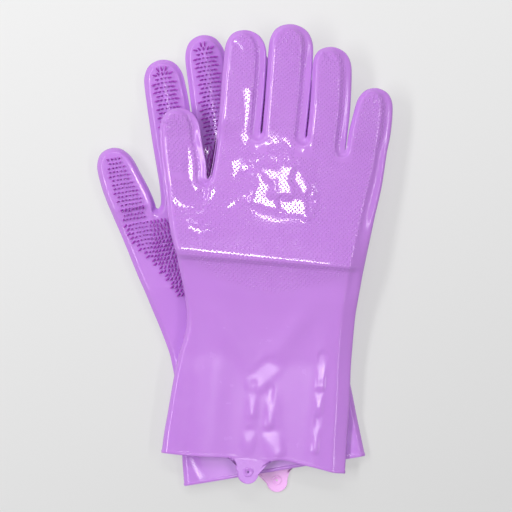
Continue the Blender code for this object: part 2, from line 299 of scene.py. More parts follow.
# ---------------- the cage in plan
class Plan:
    """Quads in the plan of a glove, each point with its place on the back, the palm and the outline."""

    def __init__(self, side):
        self.side = side
        self.top, self.base, self.edge = [], [], []
        self.faces, self.tags = [], []
        self.build()

    def span(self, name, v):
        return float(outline(self.side, name, "left", v)), float(outline(self.side, name, "right", v))

    def point(self, top, base, edge):
        self.top.append(top)
        self.base.append(base)
        self.edge.append(edge)
        return len(self.top) - 1

    def shares(self, insets, names, left, right, v):
        """Where the columns of some fingers fall across the hand, from 0 to 1."""
        marks = []
        for name in names:
            low, high = self.span(name, v)
            low, high = low + insets[0], high - insets[1]
            if marks:
                marks.append((marks[-1] + low) / 2)
            marks += [low + (high - low) * share for share in SHARES]
        left, right = left + insets[0], right - insets[1]
        return [(m - left) / (right - left) for m in marks]

    def row(self, back, palm, sides, shares):
        """A row across the hand, with the place of each point along the back and the palm."""
        made = []
        for i, places in enumerate(zip(back, palm)):
            point = []
            for v, share, (inset_left, inset_right) in zip(places, (shares[0][i], shares[1][i]), INSETS):
                if inset_right == EDGE_RIGHT:
                    below = ease((KNUCKLES - HAND_EDGE_FROM - v) / HAND_EDGE_OVER)
                    inset_right += (HAND_EDGE_RIGHT - EDGE_RIGHT) * float(below)
                left, right = self.span(sides, v)
                point.append((left + inset_left + (right - left - inset_left - inset_right) * share, v))
            left, right = self.span(sides, back[i])
            made.append(self.point(*point, (left + (right - left) * i / (len(back) - 1), back[i])))
        return made

    def join(self, first, second, tag):
        for a, b, c, d in zip(first, first[1:], second[1:], second):
            self.faces.append((a, b, c, d))
            self.tags.append(PIECES.index(tag))

    def build(self):
        """Rows from the cuff to the thumb's web, then the thumb, the palm and the fingers."""
        count = 5 * STRIDE - 1
        even = [i / (count - 1) for i in range(count)]
        palm, full = self.palm_shares(), self.full_shares()
        before = None
        for v in CUFF_ROWS + SLEEVE_ROWS + HAND_ROWS:
            mix = float(ease((v - GATHER_FROM) / GATHER_OVER))
            shares = [[e + (f - e) * mix for e, f in zip(even, full[k])] for k in (0, 1)]
            made = self.row([v] * count, [v] * count, "hand", shares)
            if before:
                self.join(before, made, "rim" if v <= RIM_ROW else "hand")
            before = made
        level = WEBS["thumb"]
        made = self.row(*self.stops([level] * count, [COLUMNS + 1]), "hand", full)
        self.set_web(made[COLUMNS:COLUMNS + 3], self.span("thumb", level)[1],
                     self.span("palm", level)[0], level)
        self.join(before, made, "hand")
        self.finger("thumb", made[:COLUMNS + 1], level)
        self.palm(made[STRIDE:], palm, level - ROOT_STOP)

    def stops(self, levels, webs):
        """Where the last row before some fingers lies on the back and on the palm."""
        return [[level - (reach if i in webs else ROOT_STOP) for i, level in enumerate(levels)]
                for reach in (WEB_BACK, WEB_PALM)]

    def palm(self, before, shares, begin):
        """Rows from the thumb's web to the webs between the fingers."""
        four = ORDER[1:]
        count = len(before)
        webs = [COLUMNS + 1 + STRIDE * k for k in range(3)]
        places = [0] + webs + [count - 1]
        nearest = ("index", "index", "middle", "ring", "ring")
        levels = np.interp(range(count), places, [WEBS[name] for name in nearest])
        stops = self.stops(levels, webs)
        for share in (0.2, 0.4, 0.6, 0.8, 1.0):
            rows = [[begin + (stop - begin) * share for stop in layer] for layer in stops]
            made = self.row(*rows, "palm", shares)
            self.join(before, made, "hand")
            before = made
        for name, after, i in zip(four, four[1:], webs):
            level = WEBS[name]
            right, left = self.span(name, level)[1], self.span(after, level)[0]
            self.set_web(made[i - 1:i + 2], right, left, level)
        for number, name in enumerate(four):
            first = number * STRIDE
            self.finger(name, made[first:first + COLUMNS + 1], float(levels[first]))

    def palm_shares(self):
        return [self.shares(inset, ORDER[1:], *self.span("palm", KNUCKLES), KNUCKLES) for inset in INSETS]

    def full_shares(self):
        """Where the columns fall across the whole hand at the thumb's root."""
        full = []
        for (inset_left, inset_right), palm in zip(INSETS, self.palm_shares()):
            left, right = self.span("palm", THUMB_ROOT)
            left, right = left + inset_left, right - inset_right
            fingers = [left + (right - left) * share for share in palm]
            left, right = self.span("thumb", THUMB_ROOT)
            left, right = left + inset_left, right - inset_right
            marks = [left + (right - left) * share for share in SHARES]
            marks += [(right + fingers[0]) / 2] + fingers
            full.append([(m - marks[0]) / (marks[-1] - marks[0]) for m in marks])
        return full

    def set_web(self, three, right, left, v):
        """The outline of a web: a narrow round slot between two fingers."""
        places = ((right, v + WEB_RISE), ((right + left) / 2, v), (left, v + WEB_RISE))
        for point, place in zip(three, places):
            self.edge[point] = place

    def finger(self, name, root, start):
        tip = tip_of(self.side, name)
        cap = tip - FINGERS[name]["cap"]
        count = max(2, round((cap - start) / FINGER_ROW))
        stations = [start + SEAM] + list(np.linspace(start + FINGER_ROW, cap, count))
        before = root
        for number, v in enumerate(stations):
            left, right = self.span(name, v)
            made = []
            for share in SHARES:
                top = left + EDGE_LEFT + (right - left - EDGE_LEFT - EDGE_RIGHT) * share
                base = left + EDGE_PALM + (right - left - 2 * EDGE_PALM) * share
                made.append(self.point((top, v), (base, v), (left + (right - left) * share, v)))
            self.join(before, made, "hand" if number == 0 else name)
            before = made
        for step in CAP_STEPS:
            made = [self.cap_point(name, cap, tip, 2 * share - 1, step) for share in SHARES]
            self.join(before, made, name)
            before = made

    def cap_point(self, name, cap, tip, s, t):
        """A point of a round fingertip: a square grid bent into a half disc."""
        left, right = self.span(name, cap + (tip - cap) * t * 0.7)
        across, along = s * math.sqrt(1 - t * t / 2), t * math.sqrt(1 - s * s / 2)
        places = []
        for inset_left, inset_right, inset_tip in (
                (EDGE_LEFT, EDGE_RIGHT, EDGE_TIP), (EDGE_PALM, EDGE_PALM, EDGE_TIP), (0, 0, 0)):
            low, high = left + inset_left, right - inset_right
            u = (low + high) / 2 + (high - low) / 2 * across
            places.append((u, cap + (tip - inset_tip - cap) * along))
        return self.point(*places)


def heights(side, v):
    table = HEIGHTS[side]
    return between(v, table, "low"), between(v, table, "high")


def cage(side, plan):
    """Closed sides round the plan: back, shoulder, outline, palm shoulder and palm; the cuff stays open."""
    top, base, edge = (np.array(a, float) for a in (plan.top, plan.base, plan.edge))
    low, high = heights(side, top[:, 1])
    upper, lower = (top, base) if side == "right" else (base, top)
    count = len(top)
    faces, tags, owner = [], [], {}
    for face, tag in zip(plan.faces, plan.tags):
        faces += [face, tuple(i + count for i in reversed(face))]
        tags += [tag, tag]
        owner.update(dict.fromkeys(zip(face, face[1:] + face[:1]), tag))
    outer_edges = [(a, b) for a, b in owner if (b, a) not in owner and max(top[a, 1], top[b, 1]) > 0.1]
    rim = sorted({i for pair in outer_edges for i in pair})
    slot = {point: number for number, point in enumerate(rim)}
    middle = (low + high)[rim] / 2
    half = (high - low)[rim] / 2
    rings = [np.column_stack([upper, high]), np.column_stack([lower, low])]
    for face, sign in ((upper, 1), (lower, -1)):
        reach = edge[rim] - face[rim]
        crisp = np.clip((np.linalg.norm(reach, axis=1) - CRISP_FROM) / CRISP_OVER, 0, 1)
        for (soft_out, soft_down), (crisp_out, crisp_down) in LOOPS:
            out = soft_out + (crisp_out - soft_out) * crisp
            down = soft_down + (crisp_down - soft_down) * crisp
            places = face[rim] + reach * out[:, None]
            rings.append(np.column_stack([places, middle + sign * half * (1 - down)]))
    # the outermost loop lies past the outline, so that the smoothed wall falls on it
    walls = (rings[3][:, :2] + rings[5][:, :2]) / 2
    rings.append(np.column_stack([1.5 * edge[rim] - 0.5 * walls, middle]))
    points = np.concatenate(rings)
    starts = np.cumsum([0] + [len(ring) for ring in rings])
    chain = (2, 3, 6, 5, 4)
    for a, b in outer_edges:
        loops = [(a, b)] + [(starts[k] + slot[a], starts[k] + slot[b]) for k in chain]
        loops += [(a + count, b + count)]
        for (p, q), (r, s) in zip(loops, loops[1:]):
            faces.append((int(q), int(p), int(r), int(s)))
            tags.append(owner[(a, b)])
    return points, faces, tags


def read(items, key, width, kind):
    values = np.zeros(len(items) * width, kind)
    items.foreach_get(key, values)
    return values.reshape(-1, width)


def subdivide(points, faces, tags, levels):
    mesh = bpy.data.meshes.new("cage")
    mesh.from_pydata([tuple(p) for p in points], [], faces)
    for name in PIECES:
        mesh.materials.append(bpy.data.materials.get(name) or bpy.data.materials.new(name))
    mesh.polygons.foreach_set("material_index", tags)
    made = bpy.data.objects.new("cage", mesh)
    bpy.context.scene.collection.objects.link(made)
    surface = made.modifiers.new("smooth", "SUBSURF")
    surface.levels = surface.render_levels = levels
    surface.boundary_smooth = "PRESERVE_CORNERS"
    seen = made.evaluated_get(bpy.context.evaluated_depsgraph_get())
    smooth = bpy.data.meshes.new_from_object(seen)
    bpy.data.objects.remove(made, do_unlink=True)
    out = read(smooth.vertices, "co", 3, float)
    quads = read(smooth.polygons, "vertices", 4, int)
    kinds = read(smooth.polygons, "material_index", 1, int)[:, 0]
    bpy.data.meshes.remove(smooth)
    for name in PIECES:
        bpy.data.materials.remove(bpy.data.materials[name])
    return out, quads, kinds


def normals_of(points, quads):
    corners = points[quads]
    face = np.cross(corners[:, 2] - corners[:, 0], corners[:, 3] - corners[:, 1])
    total = np.zeros_like(points)
    for k in range(4):
        np.add.at(total, quads[:, k], face)
    return total / np.maximum(np.linalg.norm(total, axis=1, keepdims=True), 1e-12)


# ---------------- sculpting
def lump(u, v, at, size, rise):
    return rise * np.exp(-(((u - at[0]) / size[0]) ** 2 + ((v - at[1]) / size[1]) ** 2))


def ridge(u, v, start, end, width, rise):
    """A soft ridge along a line, fading at both ends."""
    start, end = np.array(start, float), np.array(end, float)
    along = end - start
    length = np.linalg.norm(along)
    along /= length
    a = (u - start[0]) * along[0] + (v - start[1]) * along[1]
    b = (v - start[1]) * along[0] - (u - start[0]) * along[1]
    fade = ease(a / (0.35 * length)) * ease((length - a) / (0.35 * length))
    return rise * fade * np.exp(-((b / width) ** 2))


def soft_floor(x, width):
    """Zero below zero and x above it, with a soft corner."""
    return width * np.logaddexp(0, x / width)


def over_finger(side, name, root, u, v):
    """The middle line of a finger, half its width, and how far inside it a place is, from 0 to 1."""
    left, right = outline(side, name, "left", v), outline(side, name, "right", v)
    inside = ease((u - left + 2) / 3) * ease((right + 2 - u) / 3) * ease((v - root + 4) / 14)
    return (left + right) / 2, (right - left) / 2, inside


# the back of the hand slopes down from the wrist, as far as the lower edge of a low cone
HAND_SLOPE, HAND_SLOPE_FROM = 0.075, 155.4
CONE_CENTRE, CONE_RADIUS, CONE_STRETCH = (-2.0, 212.0), 27.5, 1.1
CONE_HEIGHT, CONE_SLOPE = 2.2, 0.08
LEAST_SQUARE = 150.0  # ends the round lower edge of the cone before it turns upright
SIDE_FROM, SIDE_OVER = 165.0, 25.0  # where the sides of the hand begin to fall away
FINGER_FROM, FINGER_OVER, FINGER_SINK = 236.0, 22.0, 2.7  # the fingers lie lower than the hand
FINGER_TILT = {"thumb": -0.11, "index": -0.07, "middle": -0.07, "ring": -0.07, "little": -0.07}
THUMB_TILT_FROM = THUMB_ROOT - 18


def slopes_of_back(u, v):
    """The back of the upper glove without its flat spots."""
    across = (u - CONE_CENTRE[0]) / CONE_STRETCH
    foot = CONE_CENTRE[1] - np.sqrt(np.maximum(CONE_RADIUS ** 2 - across ** 2, LEAST_SQUARE))
    hand = -HAND_SLOPE * (soft_floor(v - HAND_SLOPE_FROM, 0.7) - soft_floor(v - foot, 0.6))
    cone = soft_floor(CONE_HEIGHT - CONE_SLOPE * np.hypot(across, v - CONE_CENTRE[1]), 0.12)
    sides = (-0.05 * (soft_floor(u - 22, 3.0) - soft_floor(u - 42, 3.0))
             - 0.09 * (soft_floor(-27 - u, 2.0) - soft_floor(-56 - u, 3.0)))
    on_finger = ease((v - FINGER_FROM) / FINGER_OVER)
    z = hand + cone + sides * ease((v - SIDE_FROM) / SIDE_OVER)
    z = z * (1 - on_finger) - FINGER_SINK * on_finger
    for name in ORDER:
        root = THUMB_TILT_FROM if name == "thumb" else KNUCKLES
        middle, _, inside = over_finger("right", name, root, u, v)
        z = z + inside * FINGER_TILT[name] * (u - middle)
    for at, size, rise in LUMPS:
        z = z + lump(u, v, at, size, rise)
    for start, end, width, rise in RIDGES:
        z = z + ridge(u, v, start, end, width, rise)
    return z


def facet(side, surface, u, v, start, end, half, soft):
    """A flat spot along a line: how strongly it pulls the surface, and its plane."""
    a, b = np.array(start, float), np.array(end, float)
    along = b - a
    t = np.clip(((u - a[0]) * along[0] + (v - a[1]) * along[1]) / max(along @ along, 1e-9), 0, 1)
    off = np.hypot(u - a[0] - t * along[0], v - a[1] - t * along[1])
    middle = (a + b) / 2
    z = surface(middle[:1], middle[1:])[0]
    tilt = FLAT_CURVE * (middle - np.array(FLAT_CENTRE[side]))
    low = heights(side, np.array([middle[1] - 1, middle[1] + 1]))[1]
    tilt[1] -= (low[1] - low[0]) / 2
    pull = ease((half - off) / soft + 0.5) ** 2
    return pull, z + tilt[0] * (u - middle[0]) + tilt[1] * (v - middle[1])


def flattened(side, surface, u, v):
    """A surface with the small flat spots of one glove pressed into it."""
    base = surface(u, v)
    total, weight = base.copy(), np.ones_like(base)
    for (soft, strength), spots in FACETS[side]:
        for start, end, half in spots:
            pull, z = facet(side, surface, u, v, start, end, half, soft)
            total += pull * strength * z
            weight += pull * strength
    return total / weight


FLAT_CURVE = 0.00031  # the flat spots lie along a very shallow bowl round these places
FLAT_CENTRE = {"right": (-47.0, 192.0), "left": (-9.0, 206.0)}
FACETS = {  # softness of the border and strength, then start and end of its middle line, half its width
    "right": (
        ((1.6, 60), (  # on the middle of the back, the index finger, the thumb and round its root
            ((-38, 223), (-29, 221.5), 4.2), ((-37, 216), (-35, 222), 3.0), ((-20, 217), (-13, 209), 2.8),
            ((-12, 208), (-20, 200), 4.2), ((-20, 199), (-5, 196), 4.2), ((-12, 220), (-2, 217), 4.0),
            ((2, 228), (1, 211), 5.4), ((2, 230), (9, 230), 3.0), ((2, 210), (4, 205), 4.6),
            ((4, 198), (20, 194), 6.4), ((24.5, 195), (22.5, 206), 4.2), ((21.5, 207), (9, 218), 4.2),
            ((-24, 201), (-31, 197), 2.6), ((-32, 197), (-38, 191), 3.0), ((-33, 278), (-31, 253), 3.4),
            ((-69, 228), (-66.5, 211), 5.6), ((-67, 211), (-64, 204), 4.0), ((-66, 173), (-58, 170), 3.2),
            ((-58, 170), (-52, 172), 2.6))),
        ((1.4, 60), (
            ((-79, 190), (-70, 187), 3.0), ((-70, 187), (-61, 187.5), 2.4), ((-61, 187.5), (-54, 192), 2.4),
            ((-54, 192), (-51, 202), 2.2))),
        ((1.4, 40), (  # before the webs of the fingers, and on the middle fingertip
            ((-24, 227), (-12, 231), 1.6), ((-35, 243), (-28, 239), 2.2), ((-28, 239), (-12, 240.5), 1.7),
            ((-1, 246), (3, 240), 2.2), ((3, 240), (14, 240), 1.6), ((-7, 307), (2, 307), 1.8),
            ((2, 309), (2, 323), 1.4))),
        ((1.6, 40), (((-12, 231), (-4, 229), 2.4), ((42, 237), (45, 240), 2.8))),
        ((1.2, 40), (  # on the other fingertips
            ((-47, 314), (-39, 310), 1.4), ((54, 285), (60, 281), 1.3), ((-93, 247), (-88, 244), 1.2))),
        ((3.0, 40), (((25, 314), (31, 311), 4.0),)),
        ((9.0, 3.0), (((-4, 62), (5, 74), 7.0),)),  # on the gauntlet
        ((3.0, 25), (((43.5, 87), (44, 64), 2.8),)),
        ((4.0, 6.0), (((44, 66), (44.5, 44), 2.4),)),
        ((4.0, 3.0), (((44.5, 44), (45, 14), 2.2),)),
        ((6.0, 2.0), (((-6, 60), (-5, 38), 3.0), ((-5, 24), (-5, 8), 3.6))),
        ((5.0, 2.0), (((7, 58), (9, 30), 2.6),)),
        ((8.0, 2.4), (((11, 24), (16, 8), 6.0),)),
    ),
    "left": (((4.0, 1.6), (((-61, 20), (-57, 5), 3.5),)),),
}
LUMPS = (((8, 296), (8, 9), -0.9), ((-4, 318), (9, 12), 0.35))  # a dent and a rise on the middle finger
RIDGES = (  # on the gauntlet
    ((-60, 134), (2, 60), 9.0, 1.1), ((38, 136), (-5, 60), 8.0, 0.9),
    ((-35, 122), (-35, -40), 11.0, 0.9), ((43.5, 132), (44.5, -40), 6.0, 0.7),
    ((-6, 74), (-5, -20), 5.0, 0.6), ((8, 74), (15, -24), 6.0, 0.7),
)
WRIST_STEP, WRIST_WIDTH = 2.2, 4.5  # height of the fold at the wrist, and how wide the step is
WRIST_LINE, WRIST_SLANT = 154.0, 0.03  # where it begins on the middle line, and its slope across
WRIST_SIDE, WRIST_FADE = 78.0, 22.0  # it fades before this place across
WRIST_END, WRIST_RAMP = 122.0, 30.0  # the gauntlet comes back to its full height down to here


def wrist_fold(u, v):
    """A step down towards the gauntlet, which it meets again further on."""
    reach = ease((WRIST_SIDE - u) / WRIST_FADE)
    step = ease((WRIST_LINE + WRIST_SLANT * u - v) / WRIST_WIDTH)
    return -WRIST_STEP * reach * step * ease((v - WRIST_END) / WRIST_RAMP)


# how far the upper cuff edge is set back from square: place across, then distance
CUFF_EDGE = ((-70, 1.4), (-44, 1.6), (-24, 2.8), (-17, 3.2), (-3, 3.2), (12, 3.8), (22, 5.4), (34, 4.0),
             (52, 1.5), (61, 0.1), (70, 0.2))
CUFF_FADE = 36.0  # how far up the glove the wave of its edge is felt


def through(x, knots):
    """A smooth curve through some points."""
    xs, ys = (np.array(side, float) for side in zip(*knots))
    slopes = np.gradient(ys, xs)
    i = np.clip(np.searchsorted(xs, x) - 1, 0, len(xs) - 2)
    step = xs[i + 1] - xs[i]
    t = np.clip((x - xs[i]) / step, 0, 1)
    start = ys[i] * (1 + 2 * t) * (1 - t) ** 2 + slopes[i] * step * t * (1 - t) ** 2
    return start + ys[i + 1] * t * t * (3 - 2 * t) - slopes[i + 1] * step * t * t * (1 - t)


def cuff_wave(u, v):
    """How far the cuff edge runs off square, along the glove."""
    return through(u, CUFF_EDGE) * ease((CUFF_FADE - v) / CUFF_FADE)


PALM_CROWN, CROWN_ROUND = 1.7, 0.03  # height of the roof on the palm side of a finger, and its soft top
FINGER_TAPER, THUMB_SLOPE = 0.02, 0.07


def palm_crown(side, u, v):
    """The palm side of the fingers: a roof that sinks towards the tip, and a tilted thumb."""
    z = np.zeros_like(u)
    for name in ORDER:
        root = THUMB_ROOT if name == "thumb" else KNUCKLES
        middle, half, inside = over_finger(side, name, root, u, v)
        off = np.clip((u - middle) / half, -1.2, 1.2)
        if name == "thumb":
            z += inside * THUMB_SLOPE * (u - middle)
        else:
            roof = PALM_CROWN * off ** 2 / (np.abs(off) + CROWN_ROUND)
            z -= inside * (roof + FINGER_TAPER * (v - root))
    return z


def palm_slopes(u, v):
    """The palm side of the lower glove, which lies uppermost, without its flat spot."""
    on_hand = ease((v - 70) / 40)
    before_fingers = 1 - ease((v - KNUCKLES + 12) / 14)
    beside_thumb = ease((216 - v) / 16)
    sides = -0.07 * (soft_floor(u - 30, 3.0) + soft_floor(-40 - u, 3.0) * beside_thumb)
    cuff = -0.05 * soft_floor(-50 - u, 3.0) * (1 - on_hand)
    ramp = -0.09 * (soft_floor(u + 26, 2.0) - soft_floor(u - 4, 2.0))
    ramp = ramp * ease((v - 200) / 20) * (1 - ease((v - 238) / 16))
    return palm_crown("left", u, v) + sides * on_hand * before_fingers + cuff + ramp


RIM_BEAD = 0.35
LOWER_CUFF = 0.3  # how far the lower glove's cuff edge is set back
RELIEF_RISE = 0.42  # share of the height, from the middle up, over which the relief comes in
TAB_FLAT = 18.0  # how far up the glove the skin stays flat under the tab


def sculpt(side, points, normals):
    """Relief on the back and the palm, a bead round the cuff edge, and the wave of that edge."""
    low, high = heights(side, points[:, 1])
    rise = (points[:, 2] - (low + high) / 2) / (RELIEF_RISE * (high - low))
    upper, lower = ease(rise), ease(-rise)
    at_tab = np.exp(-(((points[:, 0] - GLOVES[side]["tab"][0]) / TAB_ROOT) ** 4))
    at_tab = at_tab * (upper if side == "right" else lower)
    bead = RIM_BEAD * np.sin(math.pi * np.clip(points[:, 1] / (RIM_ROW * 1.05), 0, 1)) * (1 - at_tab)
    u, v, w = (points + normals * bead[:, None]).T
    if side == "right":
        near_tab = at_tab * ease((TAB_FLAT - v) / TAB_FLAT)
        relief = (flattened(side, slopes_of_back, u, v) + wrist_fold(u, v)) * (1 - near_tab)
        w = w + relief * upper - palm_crown(side, u, v) * lower
        v = v + cuff_wave(u, v)
    else:
        w = w + flattened(side, palm_slopes, u, v) * upper
        v = v + LOWER_CUFF * ease((CUFF_FADE - v) / CUFF_FADE)
    return np.column_stack([u, v, w])


# ---------------- meshes from the skin
def new_piece(name, points, faces, material, normals=None):
    mesh = bpy.data.meshes.new(name)
    mesh.from_pydata(points.tolist(), [], [tuple(int(i) for i in f) for f in faces])
    mesh.validate()
    mesh.shade_smooth()
    if normals is not None:
        mesh.normals_split_custom_set_from_vertices(normals.tolist())
    mesh.materials.append(material)
    made = bpy.data.objects.new(name, mesh)
    bpy.context.scene.collection.objects.link(made)
    return made


def walled(name, points, normals, quads, wall, material):
    """A closed wall from one part of the skin, shaded as part of the whole skin."""
    used = np.unique(quads)
    place = np.full(len(points), -1)
    place[used] = np.arange(len(used))
    faces = place[quads]
    count = len(used)
    outer, n = points[used], normals[used]
    inner = outer - n * wall * MM
    pairs = np.concatenate([faces[:, [k, (k + 1) % 4]] for k in range(4)])
    keys = np.sort(pairs, axis=1)
    _, first, uses = np.unique(keys, axis=0, return_index=True, return_counts=True)
    open_edges = pairs[first[uses == 1]]
    starts, ends = open_edges[:, 0], open_edges[:, 1]
    rims = np.column_stack([ends, starts, starts + count, ends + count])
    everything = np.concatenate([faces, faces[:, ::-1] + count, rims])
    points, shading = np.concatenate([outer, inner]), np.concatenate([n, -n])
    return new_piece(name, points, everything, material, shading)


def belt(first, second, size):
    """Quads between two loops of the same size, from the number of each loop's first point."""
    after = [(k + 1) % size for k in range(size)]
    return [(first + k, first + n, second + n, second + k) for k, n in enumerate(after)]


RAY_ABOVE, RAY_BELOW = 0.2, -0.1  # metres, from where rays look for the skin


def grown(name, side, spots, profile, sides, tree, above, material, leans=None, sinks=None):
    """Small turned pillars or domes on the skin, one at each place in plan, perhaps leaning."""
    angles = [2 * math.pi * k / sides for k in range(sides)]
    ring = np.array([(math.cos(a), math.sin(a)) for a in angles])
    plan = world(side, [(u, v, 0.0) for u, v in spots])
    leaning = np.zeros_like(plan)
    if leans is not None:
        ends = world(side, [(u + a, v + b, 0.0) for (u, v), (a, b) in zip(spots, leans)])
        leaning[:, :2] = (ends - plan)[:, :2] / MM
    points, faces = [], []
    start, way = (RAY_ABOVE, Vector((0, 0, -1))) if above else (RAY_BELOW, Vector((0, 0, 1)))
    for (x, y, _), lean, sink in zip(plan, leaning, sinks or [0.0] * len(spots)):
        hit, normal, _, _ = tree.ray_cast(Vector((x, y, start)), way)
        if hit is None:
            continue
        up = np.array(normal)
        foot = np.array(hit) - up * sink * MM
        axis = up + lean
        axis /= np.linalg.norm(axis)
        side_axis = np.cross(axis, (0.31, 0.95, 0.05))
        side_axis /= np.linalg.norm(side_axis)
        other = np.cross(axis, side_axis)
        at = len(points)
        for radius, rise in profile[:-1]:
            points += [foot + (axis * rise + (side_axis * a + other * b) * radius) * MM for a, b in ring]
        points.append(foot + axis * profile[-1][1] * MM)
        last = at + (len(profile) - 2) * sides
        for low in range(at, last, sides):
            faces += belt(low, low + sides, sides)
        faces += [(last + k, last + (k + 1) % sides, last + sides) for k in range(sides)]
        faces.append(tuple(at + k for k in reversed(range(sides))))
    return new_piece(name, np.array(points), faces, material)


# ---------------- materials
class Surface:
    """A material, with short ways to add the nodes it is made of."""

    def __init__(self, name):
        self.material = bpy.data.materials.new(name)
        self.material.use_nodes = True
        self.tree = self.material.node_tree
        self.shader = self.tree.nodes["Principled BSDF"]
        self.place = self.add("TexCoord").outputs["Object"]

    def put(self, node, **sockets):
        """Links or sets sockets of a node, named with _ in place of spaces."""
        for name, value in sockets.items():
            self.fill(node.inputs[name.replace("_", " ")], value)

    def fill(self, socket, value):
        if isinstance(value, bpy.types.NodeSocket):
            self.tree.links.new(value, socket)
        else:
            socket.default_value = value

    def add(self, kind, **sockets):
        made = self.tree.nodes.new("ShaderNode" + kind)
        self.put(made, **sockets)
        return made

    def noise(self, scale, detail):
        return self.add("TexNoise", Scale=scale, Detail=detail, Vector=self.place).outputs["Fac"]

    def map_range(self, value, given, wanted):
        ends = dict(zip(("From_Min", "From_Max", "To_Min", "To_Max"), given + wanted))
        return self.add("MapRange", Value=value, **ends).outputs["Result"]

    def maths(self, operation, *values):
        made = self.add("Math")
        made.operation = operation
        for socket, value in zip(made.inputs, values):
            self.fill(socket, value)
        return made.outputs["Value"]


DULL = 0.12  # how much rougher the middle of the gauntlet is than the hand
DULL_FROM, DULL_TO = -0.012, -0.045  # metres along the floor, over which that begins
DULL_MIDDLE, DULL_SIDES = 0.013, (0.044, 0.052)  # and across it: the middle line, and where it ends


def silicone(name, colour, dark, rough=0.11):
    """Glossy moulded silicone, duller on the gauntlet: slow colour drift, faint haze, fine mould grain."""
    made = Surface(name)
    drift = made.add("Mix")
    drift.data_type = "RGBA"
    made.put(drift, A=(*dark, 1), B=(*colour, 1), Factor=made.noise(14.0, 3.0))
    haze = made.map_range(made.noise(90.0, 4.0), (0.3, 0.7), (rough - 0.03, rough + 0.05))
    axes = made.add("SeparateXYZ", Vector=made.place).outputs
    dull = made.map_range(axes["Y"], (DULL_TO, DULL_FROM), (DULL, 0.0))
    away = made.maths("ABSOLUTE", made.maths("SUBTRACT", axes["X"], DULL_MIDDLE))
    middle = made.map_range(away, DULL_SIDES, (1.0, 0.0))
    grain = made.add("Bump", Strength=0.05, Distance=0.0002, Height=made.noise(1600.0, 2.0))
    made.put(made.shader, Base_Color=drift.outputs["Result"], Normal=grain.outputs["Normal"],
             Roughness=made.maths("MULTIPLY_ADD", dull, middle, haze), IOR=1.43,
             Subsurface_Weight=0.12, Subsurface_Radius=(1.0, 0.6, 0.9), Subsurface_Scale=0.002)
    return made.material


# the floor's painted glow: its turn, its glow at the near and far ends, and how far out the glow changes
TABLE_TURN, FLOOR_PAINTED_GLOW, TABLE_REACH = -22.0, (0.41, 0.58), 0.24


def light_table():
    """A pale sheet with painted light: it glows to wash out shadows, and its glow is brighter towards the far left
    corner as a painted falloff of light.
    """
    made = Surface("light_table")
    turn = made.add("Mapping", Vector=made.place, Rotation=(0, 0, math.radians(TABLE_TURN)))
    along = made.add("SeparateXYZ", Vector=turn.outputs["Vector"]).outputs["Y"]
    glow = made.map_range(along, (-TABLE_REACH, TABLE_REACH), FLOOR_PAINTED_GLOW)
    made.put(made.shader, Emission_Strength=glow, Emission_Color=(1, 1, 1, 1),
             Base_Color=(0.26, 0.26, 0.26, 1), Roughness=0.9)
    return made.material


# ---------------- bristle and dot fields
PAD_SIDES = {
    "v": (144, 156.5, 172, 183, 196, 203.5, 204, 220, 232, 250),
    "left": (-50, -55.5, -64.5, -74, -79.7, -81.3, -46.0, -45.4, -44.8, -44.8),
    "right": (57, 59, 60, 61.5, 63, 64, 64.7, 66, 67, 67.5),
}
BRISTLE = ((0.74, -0.8), (0.74, 0.1), (0.68, 1.4), (0.60, 2.7), (0.48, 3.3), (0.24, 3.6), (0.0, 3.66))
DOT = ((0.82, -0.3), (0.76, 0.03), (0.50, 0.17), (0.2, 0.25), (0.0, 0.27))
FINGER_GRID = (2.7, 3.2, 0.2)  # between columns and between rows of bristles, and how far each strays
PALM_GRID = (2.7, 3.2, 0.25)
DOT_GRID = (3.2, 1.6, 0.0)
LEAN = 1.25  # how far the outermost bristles lean, as a slope
THUMB_LEAN = 0.3 * LEAN
BRISTLE_INSET, BRISTLE_TIP = 8.4, 6.4  # how far the bristles stay from the sides and the tip of a finger
DOT_INSET = 5.0


def stagger(left, right, low, high, grid, rng):
    """Places in staggered rows over a field whose sides are given at each height."""
    pitch, row_pitch, jitter = grid
    spots = []
    for j in range(int((high - low) / row_pitch) + 1):
        v = low + j * row_pitch
        a, b = left(v), right(v)
        count = int((b - a) / pitch) + 1
        begin = (a + b) / 2 - (count - 1) * pitch / 2 + (pitch / 2 if j % 2 else 0)
        for i in range(count - j % 2):
            shift = rng.uniform(-jitter, jitter, 2)
            spots.append((begin + i * pitch + shift[0], v + shift[1]))
    return spots


def finger_field(plan, name, inset, tip_inset, begin, grid, rng):
    """Places over a finger, as far as its round tip."""
    tip, cap = tip_of(plan.side, name), FINGERS[name]["cap"]

    def side_at(v, k):
        reach = max(0.0, v - (tip - cap)) / (cap - tip_inset)
        left, right = plan.span(name, v)
        middle, half = (left + right) / 2, (right - left) / 2 - inset
        return middle + k * half * math.sqrt(max(0.0, 1 - min(1.0, reach) ** 2))

    return stagger(lambda v: side_at(v, -1), lambda v: side_at(v, 1), begin, tip - tip_inset, grid, rng)


def finger_leans(plan, name, spots):
    """Bristles lean outward from the middle line of a finger, and all ways at its tip."""
    tip, cap = tip_of(plan.side, name), FINGERS[name]["cap"]
    leans = []
    for u, v in spots:
        left, right = plan.span(name, v)
        across = (2 * u - left - right) / (right - left - 2 * BRISTLE_INSET)
        along = max(0.0, v - (tip - cap)) / (cap - BRISTLE_INSET)
        lean = THUMB_LEAN if name == "thumb" else LEAN
        leans.append((lean * across * abs(across) ** 0.4, lean * (along ** 1.3 - 0.25 * across ** 2)))
    return leans


